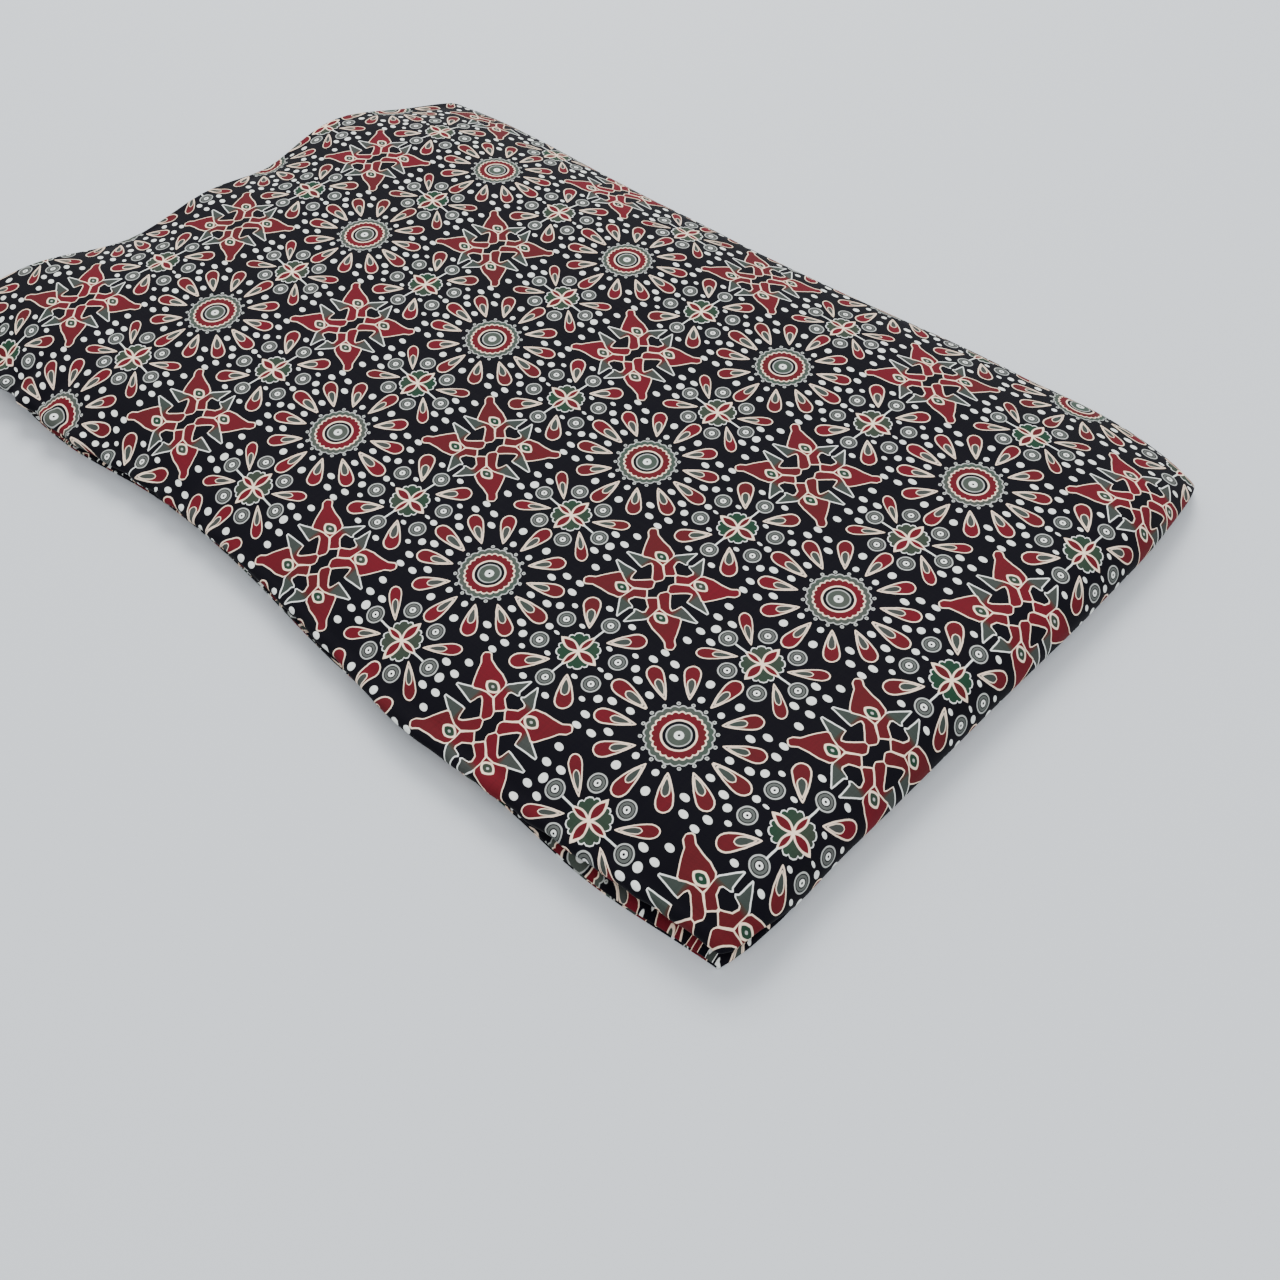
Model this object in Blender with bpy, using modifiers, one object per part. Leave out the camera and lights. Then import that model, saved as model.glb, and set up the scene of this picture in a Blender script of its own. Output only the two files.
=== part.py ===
"""Folded printed cotton cloth, lying flat.

One cut length is doubled across its width and laid back and forth in panels.
The doubling fold is the short end at +X, the selvedges are the short end at -X,
and the panel folds are the long sides at -Y and +Y. The solid is one sheet.
Its strip line runs back and forth in the YZ plane, and at every point of that
line a hairpin of two plies runs along X, from selvedge to fold to selvedge.
"""
import math

import bmesh
import bpy
import numpy as np

# Driving dimensions, in metres
PANELS = 5
PLY = 0.0011
PLY_SPACE = 0.0013
PANEL_SPACE = 0.0017
PANEL_THICKNESS = 2 * PLY + PLY_SPACE
PANEL_PITCH = PANEL_THICKNESS + PANEL_SPACE
STACK_HEIGHT = PANELS * PANEL_PITCH - PANEL_SPACE
FOLD_RADIUS = PANEL_PITCH / 2
FOLD_REACH = FOLD_RADIUS + PANEL_THICKNESS / 2
HAIRPIN_RADIUS = (PLY + PLY_SPACE) / 2
LOWEST_PLY = PLY / 2

# Stations of the mesh along a panel and along the hairpin, closer at the borders
PANEL_SHARES = (0.0, 0.013, 0.030, 0.057, 0.105, 0.350, 0.650, 0.895, 0.943, 0.970, 0.987, 1.0)
LENGTH_SHARES = (
    0.0, 0.018, 0.040, 0.066, 0.100, 0.150, 0.235, 0.320, 0.405, 0.490,
    0.575, 0.660, 0.745, 0.830, 0.905, 0.948, 0.970, 0.986, 1.0,
)
# Steps round a panel fold and round the hairpin's turn
FOLD_STEPS = 4
HAIRPIN_STEPS = 4

# Plan outline of the pile, seen from above: place along the side, reach of the side
NEAR_SIDE = (
    (-0.285, -0.166), (-0.230, -0.170), (-0.165, -0.163), (-0.105, -0.157),
    (-0.030, -0.161), (0.050, -0.168), (0.140, -0.172), (0.210, -0.169), (0.262, -0.165),
)
FAR_SIDE = (
    (-0.285, 0.177), (-0.210, 0.173), (-0.130, 0.168), (-0.045, 0.163),
    (0.030, 0.162), (0.095, 0.166), (0.150, 0.172), (0.205, 0.180), (0.262, 0.171),
)
DOUBLING_FOLD = (
    (-0.172, 0.256), (-0.155, 0.261), (-0.100, 0.263), (-0.010, 0.264),
    (0.065, 0.267), (0.120, 0.271), (0.150, 0.268), (0.174, 0.254),
)
SELVEDGES = (
    (-0.170, -0.294), (-0.130, -0.286), (-0.085, -0.278), (-0.035, -0.274),
    (0.010, -0.280), (0.055, -0.288), (0.105, -0.287), (0.140, -0.274), (0.174, -0.271),
)

# Height of the top: place along X, height near -Y, in the middle and near +Y
TOP_HEIGHT = (
    (-0.270, 0.0245, 0.0272, 0.0250), (-0.150, 0.0235, 0.0255, 0.0238),
    (-0.050, 0.0230, 0.0244, 0.0228), (0.060, 0.0232, 0.0245, 0.0226),
    (0.150, 0.0248, 0.0260, 0.0232), (0.245, 0.0282, 0.0288, 0.0252),
)
TOP_HALF_WIDTH = 0.160

# Edges of the panels in the order of the strip: inset, wave height, wave length, phase
PANEL_EDGES = (
    (-0.0045, 0.0012, 0.220, 0.4),
    (0.0060, 0.0020, 0.170, 1.9),
    (0.0020, 0.0016, 0.135, 2.7),
    (0.0075, 0.0018, 0.210, 0.3),
    (0.0000, 0.0010, 0.255, 5.1),
    (0.0000, 0.0014, 0.185, 3.8),
)
# Loose bulges of a panel edge: edge, place along X, reach, half length
BULGES = (
    (2, 0.150, 0.0055, 0.022), (2, 0.232, 0.0040, 0.014), (2, -0.020, 0.0035, 0.020),
    (2, -0.175, 0.0045, 0.030), (0, 0.195, 0.0030, 0.035), (4, 0.095, 0.0025, 0.030),
    (4, -0.225, 0.0035, 0.028), (3, -0.120, 0.0040, 0.030), (1, 0.080, 0.0035, 0.040),
)
# Unevenness of the ends: panel, reach at the doubling fold, at the two selvedges
PANEL_ENDS = (
    (0.0, -0.0030, 0.0015, -0.0030), (1.0, 0.0005, -0.0040, 0.0020), (2.0, 0.0022, 0.0030, -0.0015),
    (3.0, 0.0006, -0.0010, 0.0045), (4.0, 0.0000, -0.0035, 0.0010),
)

# Middle of the outline, which goes over the origin
PILE_CENTRE = (-0.0114, 0.0009)

# How the pile rounds down at its borders: width of the rounding, share of height lost
NEAR_ROUNDING = (0.016, 0.16)
FAR_ROUNDING = (0.040, 0.20)
FOLD_ROUNDING = (0.030, 0.26)
SELVEDGE_ROUNDING = (0.065, 0.26)
SELVEDGE_WAVE_LENGTH = 0.105
SELVEDGE_WAVE_SHARE = 0.45

# The top panel's loose edge hangs over the folds beneath it
FLAP_WIDTH = 0.0120
FLAP_DROP = 0.0045
FLAP_CURVE = 1.6

COTTON_COLOUR = (0.022, 0.020, 0.040, 1.0)
COTTON_ROUGHNESS = 0.85


def clear_scene():
    """Remove every object of the open scene."""
    for item in list(bpy.data.objects):
        bpy.data.objects.remove(item, do_unlink=True)


def smooth_read(table, column, where):
    """Read a column of a table with a smooth curve through its rows."""
    places = np.array([row[0] for row in table])
    values = np.array([row[column] for row in table])
    slopes = np.gradient(values, places)
    where = np.clip(where, places[0], places[-1])
    index = np.clip(np.searchsorted(places, where) - 1, 0, len(places) - 2)
    step = places[index + 1] - places[index]
    t = (where - places[index]) / step
    rise_from = (1 + 2 * t) * (1 - t) ** 2 * values[index]
    leave = t * (1 - t) ** 2 * step * slopes[index]
    rise_to = t * t * (3 - 2 * t) * values[index + 1]
    arrive = t * t * (t - 1) * step * slopes[index + 1]
    return rise_from + leave + rise_to + arrive


def loss(distance, width, share):
    """Share of the height that is lost at a distance inside a border."""
    outside = 1.0 - np.clip(distance / width, 0.0, 1.0)
    return share * outside ** 2


def height_factor(x, y):
    """Height of the pile at a place, as a share of its even height."""
    across = np.clip(y / TOP_HALF_WIDTH, -1.0, 1.0)
    middle = smooth_read(TOP_HEIGHT, 2, x)
    side = np.where(across < 0, smooth_read(TOP_HEIGHT, 1, x), smooth_read(TOP_HEIGHT, 3, x))
    factor = (middle + (side - middle) * across ** 2) / STACK_HEIGHT
    near = loss(y - smooth_read(NEAR_SIDE, 1, x), *NEAR_ROUNDING)
    far = loss(smooth_read(FAR_SIDE, 1, x) - y, *FAR_ROUNDING)
    fold = loss(smooth_read(DOUBLING_FOLD, 1, y) - x, *FOLD_ROUNDING)
    wave = np.sin(2 * math.pi * y / SELVEDGE_WAVE_LENGTH)
    width, share = SELVEDGE_ROUNDING
    share = share * (1.0 + SELVEDGE_WAVE_SHARE * wave)
    selvedge = loss(x - smooth_read(SELVEDGES, 1, y), width, share)
    return factor * (1.0 - np.sqrt(near ** 2 + far ** 2 + fold ** 2 + selvedge ** 2))


def edge_reach(edge, x):
    """Place across Y of the outer face of one panel edge."""
    inset, height, length, phase = PANEL_EDGES[edge]
    near = edge % 2 == 0
    side = smooth_read(NEAR_SIDE if near else FAR_SIDE, 1, x)
    out = height * np.sin(2 * math.pi * x / length + phase) - inset
    for bulge_edge, place, reach, half_length in BULGES:
        if bulge_edge == edge:
            out = out + reach * np.exp(-((x - place) / half_length) ** 2)
    return side - out if near else side + out


def strip_line():
    """Stations of the strip line: panel edges, share between them, fold angle."""
    stations = []
    for panel in range(PANELS):
        first = 0 if panel == 0 else 1
        for share in PANEL_SHARES[first:]:
            stations.append((panel, share, 0.0))
        if panel == PANELS - 1:
            break
        for step in range(1, FOLD_STEPS + 1):
            stations.append((panel, 1.0, math.pi * step / FOLD_STEPS))
    return stations


def hairpin_line():
    """Stations of the hairpin: share of the length, ply, turn angle."""
    stations = []
    for share in LENGTH_SHARES:
        stations.append((share, 0, 0.0))
    for step in range(1, HAIRPIN_STEPS):
        stations.append((1.0, 0, math.pi * step / HAIRPIN_STEPS))
    for share in reversed(LENGTH_SHARES):
        stations.append((share, 1, math.pi))
    return stations


def fold_place(strip, hairpin):
    """Place of one point of the sheet's middle surface."""
    panel, share, angle = strip
    length_share, ply, turn = hairpin
    heading = 1.0 if panel % 2 == 0 else -1.0
    offset = HAIRPIN_RADIUS * math.cos(turn)
    order = panel + angle / math.pi

    across = -TOP_HALF_WIDTH + 2 * TOP_HALF_WIDTH * (share if heading > 0 else 1.0 - share)
    fold_end = smooth_read(DOUBLING_FOLD, 1, across) + smooth_read(PANEL_ENDS, 1, order)
    selvedge = smooth_read(SELVEDGES, 1, across) + smooth_read(PANEL_ENDS, 2 + ply, order)
    fold_end -= HAIRPIN_RADIUS + PLY / 2
    x = selvedge + (fold_end - selvedge) * length_share + HAIRPIN_RADIUS * math.sin(turn)

    from_edge = edge_place(panel, x)
    to_edge = edge_place(panel + 1, x)
    y = from_edge + (to_edge - from_edge) * share
    y += (heading * FOLD_RADIUS - offset) * math.sin(angle)
    z = PANEL_THICKNESS / 2 + panel * PANEL_PITCH
    z += FOLD_RADIUS * (1.0 - math.cos(angle)) + heading * offset * math.cos(angle)

    z = LOWEST_PLY + (z - LOWEST_PLY) * height_factor(x, y)
    if panel == PANELS - 1:
        over = 1.0 - np.clip((smooth_read(FAR_SIDE, 1, x) - y) / FLAP_WIDTH, 0.0, None)
        z -= FLAP_DROP * max(over, 0.0) ** FLAP_CURVE
    return x - PILE_CENTRE[0], y - PILE_CENTRE[1], z


def edge_place(edge, x):
    """Place across Y where the strip line starts its fold at a panel edge."""
    reach = edge_reach(edge, x)
    if edge in (0, PANELS):
        return reach
    return reach + FOLD_REACH if edge % 2 == 0 else reach - FOLD_REACH


def cotton_material():
    """Dark dyed cotton."""
    material = bpy.data.materials.new("dyed_cotton")
    material.use_nodes = True
    shader = material.node_tree.nodes["Principled BSDF"]
    shader.inputs["Base Color"].default_value = COTTON_COLOUR
    shader.inputs["Roughness"].default_value = COTTON_ROUGHNESS
    shader.inputs["Metallic"].default_value = 0.0
    return material


def folded_cloth(collection):
    """Lay a grid along the folds and give it the thickness of one ply."""
    strips = strip_line()
    hairpins = hairpin_line()
    mesh = bpy.data.meshes.new("folded_cloth")
    grid = bmesh.new()
    bmesh.ops.create_grid(grid, x_segments=len(hairpins) - 1, y_segments=len(strips) - 1, size=1.0)
    for vertex in grid.verts:
        column = round((vertex.co.x + 1.0) / 2.0 * (len(hairpins) - 1))
        row = round((vertex.co.y + 1.0) / 2.0 * (len(strips) - 1))
        vertex.co = fold_place(strips[row], hairpins[column])
    grid.to_mesh(mesh)
    grid.free()
    cloth = bpy.data.objects.new("folded_cloth", mesh)
    collection.objects.link(cloth)
    mesh.shade_smooth()
    mesh.materials.append(cotton_material())
    thickness = cloth.modifiers.new("ply", "SOLIDIFY")
    thickness.thickness = PLY
    thickness.offset = 0.0
    return cloth


def main():
    clear_scene()
    collection = bpy.data.collections.new("folded_cloth")
    bpy.context.scene.collection.children.link(collection)
    folded_cloth(collection)


main()
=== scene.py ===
"""Folded ajrakh cotton: the dressed model, its studio and its camera."""

import math

import bmesh
import bpy
import numpy as np
from mathutils import Matrix, Vector


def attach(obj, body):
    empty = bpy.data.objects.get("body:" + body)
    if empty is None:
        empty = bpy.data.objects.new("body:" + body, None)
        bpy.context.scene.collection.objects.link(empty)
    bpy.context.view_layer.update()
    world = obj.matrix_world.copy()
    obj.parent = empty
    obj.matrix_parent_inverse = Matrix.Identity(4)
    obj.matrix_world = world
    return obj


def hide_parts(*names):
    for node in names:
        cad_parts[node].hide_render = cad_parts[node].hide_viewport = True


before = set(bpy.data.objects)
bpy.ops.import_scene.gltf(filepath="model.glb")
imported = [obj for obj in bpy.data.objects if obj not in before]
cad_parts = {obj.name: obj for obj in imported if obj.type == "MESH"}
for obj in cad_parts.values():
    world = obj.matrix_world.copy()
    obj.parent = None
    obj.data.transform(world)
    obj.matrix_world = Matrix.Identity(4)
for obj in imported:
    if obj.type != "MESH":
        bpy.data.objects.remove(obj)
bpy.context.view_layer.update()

# Camera, in metres: it stands at the near corner and looks down over the pile
CAMERA_PLACE = (0.3905, -0.3396, 0.4261)
CAMERA_LOOK = (-0.4485, 0.4643, -0.7637)
CAMERA_RIGHT = (0.7186, 0.6954, 0.0008)
CAMERA_SENSOR = 36.0
CAMERA_LENS = 36.0

# The folded sheet: one length doubled across its width and laid back and forth
PANELS = 5
PLY = 0.0007
PLY_SPACE = 0.0017
PANEL_THICKNESS = 0.0035
PANEL_PITCH = 0.0052
STACK_HEIGHT = 0.0243
FOLD_RADIUS = PANEL_PITCH / 2
HAIRPIN_RADIUS = (PLY + PLY_SPACE) / 2
LOWEST_PLY = 0.00055
FOLD_REACH = FOLD_RADIUS + HAIRPIN_RADIUS + LOWEST_PLY

# Steps of the mesh, and how far they gather at the borders
TOP_STEPS = 56
INNER_STEPS = 14
FOLD_STEPS = 10
OUTER_LENGTH_STEPS = 200
INNER_LENGTH_STEPS = 70
HAIRPIN_STEPS = 8
STRIP_GATHER = 0.80
OUTER_GATHER = 0.55
INNER_GATHER = 0.60

# Plan outline of the pile, seen from above: place along the side, reach of the side
NEAR_SIDE = (
    (-0.285, -0.176), (-0.230, -0.183), (-0.165, -0.184), (-0.105, -0.176),
    (-0.030, -0.174), (0.050, -0.177), (0.140, -0.177), (0.210, -0.173), (0.262, -0.167),
)
FAR_SIDE = (
    (-0.285, 0.168), (-0.210, 0.172), (-0.130, 0.171), (-0.045, 0.172),
    (0.030, 0.176), (0.095, 0.181), (0.150, 0.183), (0.205, 0.184), (0.262, 0.172),
)
DOUBLING_FOLD = (
    (-0.172, 0.256), (-0.155, 0.261), (-0.100, 0.263), (-0.010, 0.264),
    (0.065, 0.265), (0.120, 0.263), (0.155, 0.257), (0.184, 0.242),
)
SELVEDGES = (
    (-0.170, -0.290), (-0.130, -0.282), (-0.085, -0.274), (-0.035, -0.271),
    (0.010, -0.276), (0.055, -0.286), (0.105, -0.284), (0.140, -0.272), (0.174, -0.258),
)

# Height of the top: place along X, height near -Y, in the middle and near +Y
TOP_HEIGHT = (
    (-0.270, 0.0270, 0.0300, 0.0260), (-0.150, 0.0245, 0.0290, 0.0275),
    (-0.050, 0.0230, 0.0270, 0.0275), (0.060, 0.0225, 0.0245, 0.0255),
    (0.150, 0.0260, 0.0265, 0.0260), (0.245, 0.0320, 0.0310, 0.0280),
)
TOP_HALF_WIDTH = 0.160

# Edges of the panels in the order of the strip: inset, wave height, wave length, phase
PANEL_EDGES = (
    (-0.0022, 0.0012, 0.220, 0.4),
    (0.0060, 0.0020, 0.170, 1.9),
    (0.0012, 0.0014, 0.135, 2.7),
    (0.0075, 0.0018, 0.210, 0.3),
    (-0.0060, 0.0010, 0.255, 5.1),
    (0.0000, 0.0014, 0.185, 3.8),
)
# Loose bulges of a panel edge: edge, place along X, reach, half length
BULGES = (
    (2, 0.135, 0.0052, 0.022), (2, 0.060, 0.0030, 0.014), (2, -0.020, 0.0030, 0.020),
    (2, -0.175, 0.0045, 0.030), (0, 0.195, 0.0030, 0.035), (4, 0.095, 0.0025, 0.030),
    (4, -0.225, 0.0035, 0.028), (3, -0.120, 0.0040, 0.030), (1, 0.080, 0.0035, 0.040),
)
# Unevenness of the ends: panel, reach at the doubling fold, at the two selvedges
PANEL_ENDS = (
    (0.0, -0.0030, 0.0015, -0.0030), (1.0, -0.0040, -0.0040, 0.0020), (2.0, -0.0050, 0.0030, -0.0015),
    (3.0, -0.0085, -0.0010, 0.0045), (4.0, 0.0000, -0.0035, 0.0010),
)
# Middle of the drawn outline, which is moved to the origin
PILE_CENTRE = (-0.0114, 0.0009)

# How the pile rounds down at its borders: width of the rounding, share of height lost
NEAR_ROUNDING = (0.036, 0.36)
FAR_ROUNDING = (0.080, 0.60)
FOLD_ROUNDING = (0.030, 0.26)
SELVEDGE_ROUNDING = (0.065, 0.26)
SELVEDGE_WAVE_LENGTH = 0.105
SELVEDGE_WAVE_SHARE = 0.45

# The top panel's loose edge hangs over the folds beneath it
FLAP_WIDTH = 0.0120
FLAP_DROP = 0.0045
FLAP_CURVE = 1.6

# The top panel bends down over the ends of the panels beneath it, at the doubling fold
FRONT_BEND = 0.012
FRONT_DROP = 0.011
FRONT_FADE = (0.030, 0.35)

# The near folds swell a little, and pucker in places:
# place along X, half length, height, wave length, phase
NEAR_SWELL = (0.010, 0.0005)
PUCKERS = (
    (0.165, 0.040, 0.0008, 0.0210, 0.4), (0.222, 0.018, 0.0006, 0.0160, 2.1),
    (-0.195, 0.060, 0.0017, 0.0225, 1.0), (-0.080, 0.040, 0.0010, 0.0190, 2.6),
    (0.030, 0.035, 0.0007, 0.0280, 0.0),
)
PUCKER_WIDTH = 0.016

# The print: one repeat along the strip and across it, in metres, its lean, its place and its bow.
# Inside a repeat, sizes are shares of its length along the strip.
REPEAT_ALONG = 0.0981
REPEAT_ACROSS = 0.1194
REPEAT_LEAN = 0.1117
REPEAT_PLACE = (0.2008, -0.1235)
REPEAT_SHAPE = 1.2225
CLOTH_BOW = 0.060
BOW_MIDDLE = -0.030
BOW_SHIFT = 0.0012
HALF_ALONG = 0.5
HALF_ACROSS = REPEAT_SHAPE / 2
LINE_WIDTH = 0.0059
PRINT_EDGE = 0.0026
PRINT_WAVER = 0.0004
WAVER_SCALE = 260.0

# Inks, as shares of red, green and cream on the dark ground
GROUND = (0.0, 0.0, 0.0, 1.0)
RED = (1.0, 0.0, 0.0, 1.0)
GREEN = (0.0, 1.0, 0.0, 1.0)
CREAM = (0.0, 0.0, 1.0, 1.0)
PINK_CREAM = (0.12, 0.0, 1.0, 1.0)
GREY = (0.0, 0.30, 0.105, 1.0)
DARK_GREY = (0.0, 0.35, 0.040, 1.0)
PALE_GREY = (0.0, 0.30, 0.50, 1.0)
SLATE = (0.0, 0.75, 0.045, 1.0)

# Round rosette: outer radius of each band and its ink
ROSETTE_BANDS = (
    (0.000, GROUND), (0.006, CREAM), (0.021, SLATE), (0.049, PALE_GREY), (0.0545, GROUND),
    (0.069, PINK_CREAM), (0.077, RED), (0.105, PINK_CREAM), (0.112, SLATE), (0.134, PALE_GREY),
    (0.140, GROUND),
)
ROSETTE_SCALLOPS = 12.0
ROSETTE_SCALLOP_DEPTH = 0.008
ROSETTE_SCALLOP_START = (0.085, 0.100)
ROSETTE_REACH = 0.175
BEAD_RING = 0.157
BEAD_STEP = math.pi / 16
BEAD_RADIUS = 0.0060
BEAD_LINE = 0.0030

# Small ringed circles: place, and the bands from the middle
CIRCLES = ((0.078, 0.445), (0.190, 0.611), (0.372, 0.084), (0.500, 0.198))
CIRCLE_BANDS = (
    (0.000, GROUND), (0.0055, CREAM), (0.015, GROUND), (0.020, GREY), (0.031, GROUND),
    (0.0355, PALE_GREY), (0.0425, GROUND),
)
CIRCLE_REACH = 0.060

# Petals: tip, round end, half width
PETALS = (
    ((0.182, 0.000), (0.370, 0.000), 0.038),
    ((0.152, 0.090), (0.292, 0.202), 0.038),
    ((0.083, 0.160), (0.167, 0.330), 0.038),
    ((0.003, 0.184), (0.000, 0.391), 0.038),
    ((0.460, 0.100), (0.348, 0.248), 0.030),
    ((0.112, 0.557), (0.246, 0.436), 0.041),
)
# The first four petals go by the angle round the rosette, the other two by their place
PETAL_ANGLES = (15.0, 48.0, 77.0)
FIFTH_PETAL_START = (0.31, 0.055)
SIXTH_PETAL_START = 0.405
# Usual length of a petal, its widest share of that, where its red starts, and its drop's line
PETAL_LENGTH = 0.18
PETAL_WIDEST = 0.195
PETAL_RED_START = (0.40, 0.50)
DROP_LINE_SHARE = 0.65
# Half width of a petal and of the drop in it, against the place from tip to end
PETAL_EDGE = (
    (0.00, -0.02), (0.02, 0.012), (0.10, 0.048), (0.25, 0.100), (0.40, 0.142), (0.55, 0.173),
    (0.70, 0.194), (0.80, 0.192), (0.88, 0.168), (0.95, 0.118), (0.99, 0.045), (1.00, -0.02),
)
PETAL_DROP = (
    (0.00, -0.05), (0.09, -0.02), (0.13, 0.010), (0.22, 0.050), (0.35, 0.085), (0.47, 0.095),
    (0.54, 0.085), (0.59, 0.055), (0.62, 0.00), (0.65, -0.04), (1.00, -0.05),
)

# Cream dots: their usual half size, and each one's place, half width and half height
DOT_SIZE = 0.018
DOTS = (
    (0.000, 0.421, 0.015, 0.018), (0.108, 0.368, 0.018, 0.018), (0.074, 0.318, 0.016, 0.022),
    (0.055, 0.228, 0.015, 0.020), (0.188, 0.218, 0.015, 0.022), (0.196, 0.349, 0.015, 0.022),
    (0.255, 0.337, 0.014, 0.021), (0.241, 0.264, 0.015, 0.022), (0.271, 0.084, 0.019, 0.019),
    (0.188, 0.056, 0.015, 0.015), (0.369, 0.317, 0.015, 0.021), (0.445, 0.311, 0.015, 0.022),
    (0.500, 0.271, 0.021, 0.021), (0.432, 0.237, 0.015, 0.022), (0.154, 0.416, 0.011, 0.015),
    (0.101, 0.524, 0.010, 0.015), (0.251, 0.539, 0.013, 0.018), (0.000, 0.470, 0.007, 0.015),
)

# Small flower: reach of its scalloped lobes, and its leaves as start, length and half width
FLOWER_LOBES = (
    (0.00, 0.060), (0.08, 0.070), (0.13, 0.086), (0.22, 0.096), (0.30, 0.094), (0.345, 0.087),
    (0.40, 0.096), (0.50, 0.099), (0.60, 0.096), (0.655, 0.087), (0.70, 0.094), (0.78, 0.096),
    (0.87, 0.086), (0.92, 0.070), (1.00, 0.060),
)
WIDE_LEAF = (0.008, 0.086, 0.0175)
WIDE_LEAF_LINE = (-0.008, 0.120, 0.0255)
THIN_LEAF = (0.012, 0.074, 0.0105)
THIN_LEAF_LINE = (-0.008, 0.108, 0.0180)
PIN_HALF_WIDTH = 0.0038
PIN_START = 0.085
PIN_END = 0.154
LOBE_LINE_SHARE = 0.9
# Place along the strip that parts the two flowers at the borders of a quarter
FLOWER_SIDE = 0.25

# Star: a quarter of it, as edges measured left and down from its middle
STAR_SPAN = 0.30
FLAME_OUTER = (
    (0.000, 0.10), (0.083, 0.10), (0.084, 0.165), (0.095, 0.180), (0.140, 0.195), (0.185, 0.200),
    (0.230, 0.210), (0.255, 0.230), (0.270, 0.230), (0.285, 0.215), (0.290, 0.19), (0.300, 0.19),
)
FLAME_INNER = (
    (0.000, 0.12), (0.083, 0.12), (0.084, 0.090), (0.125, 0.090), (0.155, 0.080), (0.185, 0.065),
    (0.200, 0.070), (0.220, 0.100), (0.240, 0.135), (0.255, 0.165), (0.280, 0.185),
    (0.285, 0.200), (0.290, 0.22), (0.300, 0.22),
)
ARROW_LOWER = (
    (0.000, -0.05), (0.050, -0.05), (0.055, 0.035), (0.065, 0.050), (0.095, 0.085), (0.165, 0.090),
    (0.180, 0.085), (0.255, 0.025), (0.260, 0.00), (0.300, -0.05),
)
ARROW_UPPER = (
    (0.000, 0.08), (0.050, 0.06), (0.055, 0.030), (0.085, 0.000), (0.100, 0.000), (0.105, 0.010),
    (0.125, 0.040), (0.150, 0.048), (0.160, 0.042), (0.166, 0.010), (0.175, 0.003), (0.185, 0.014),
    (0.255, 0.018), (0.260, 0.04), (0.300, 0.08),
)
BARB_OUTER = (
    (0.000, -0.05), (0.018, -0.05), (0.022, 0.040), (0.030, 0.055), (0.090, 0.100), (0.125, 0.100),
    (0.185, 0.075), (0.260, 0.040), (0.265, 0.00), (0.300, -0.05),
)
BARB_INNER = (
    (0.000, 0.08), (0.018, 0.05), (0.022, 0.025), (0.040, -0.004), (0.060, -0.004), (0.090, 0.030),
    (0.115, 0.055), (0.130, 0.062), (0.138, 0.045), (0.143, 0.015), (0.160, 0.015), (0.260, 0.028),
    (0.265, 0.06), (0.300, 0.08),
)
# Where the tips of the barb and of the arrow turn from red to grey
BARB_TIP = (0.135, 0.158)
ARROW_TIP = (0.145, 0.172)
# Eye of the flame: its rings as half width, half height and ink
EYE_PLACE = (0.1255, 0.1250)
EYE_RINGS = ((0.0290, 0.0410, PINK_CREAM), (0.0200, 0.0300, GREEN), (0.0060, 0.0080, PALE_GREY))
EYE_ROUNDNESS = 0.70

# Colours of the ground and of the inks, as two shades that each varies between
GROUND_SHADES = ((0.0016, 0.0015, 0.0040, 1.0), (0.0024, 0.0020, 0.0040, 1.0))
RED_SHADES = ((0.105, 0.0060, 0.0120, 1.0), (0.080, 0.0085, 0.0110, 1.0))
GREEN_SHADES = ((0.030, 0.040, 0.028, 1.0), (0.011, 0.036, 0.020, 1.0))
PALE_SHADES = ((0.780, 0.800, 0.760, 1.0), (0.660, 0.690, 0.640, 1.0))
WARM_SHADES = ((0.900, 0.660, 0.480, 1.0), (0.820, 0.640, 0.480, 1.0))
PATCH_SCALE = 11.0
FLECK_SCALE = 95.0
RED_PATCHES = (0.42, 0.60)
GREEN_PATCHES = (0.44, 0.58)
WARM_SHARE = (0.02, 0.10)

# Weave and finish of the cotton
THREADS = 2300.0
SLUB_SCALE = 420.0
SLUB_STRETCH = 3.0
SLUB_SQUEEZE = 0.10
SLUB_RANGE = (0.3, 0.7)
SLUB_TINT = (0.86, 1.10)
COTTON_ROUGHNESS = (0.78, 0.90)
SHEEN_WEIGHT = 0.04
SHEEN_ROUGHNESS = 0.35
COTTON_SPECULAR = 0.08
WEAVE_STRENGTH = 0.25
WEAVE_DEPTH = 0.00012

# Floor and light; lamps as name, place, size, power and colour
FLOOR_HALF_SIZE = 4.0
FLOOR_COLOUR = (0.555, 0.58, 0.605, 1.0)
FLOOR_ROUGHNESS = 0.85
FLOOR_SPECULAR = 0.2
SKY_COLOUR = (0.93, 0.96, 1.0, 1.0)
SKY_STRENGTH = 1.0
LAMPS = (
    ("key", (-0.9, 0.9, 1.7), 1.2, 54.0, (1.0, 1.0, 1.0)),
    ("fill", (0.9, -0.5, 1.5), 1.4, 18.0, (0.97, 0.98, 1.0)),
)


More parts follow.
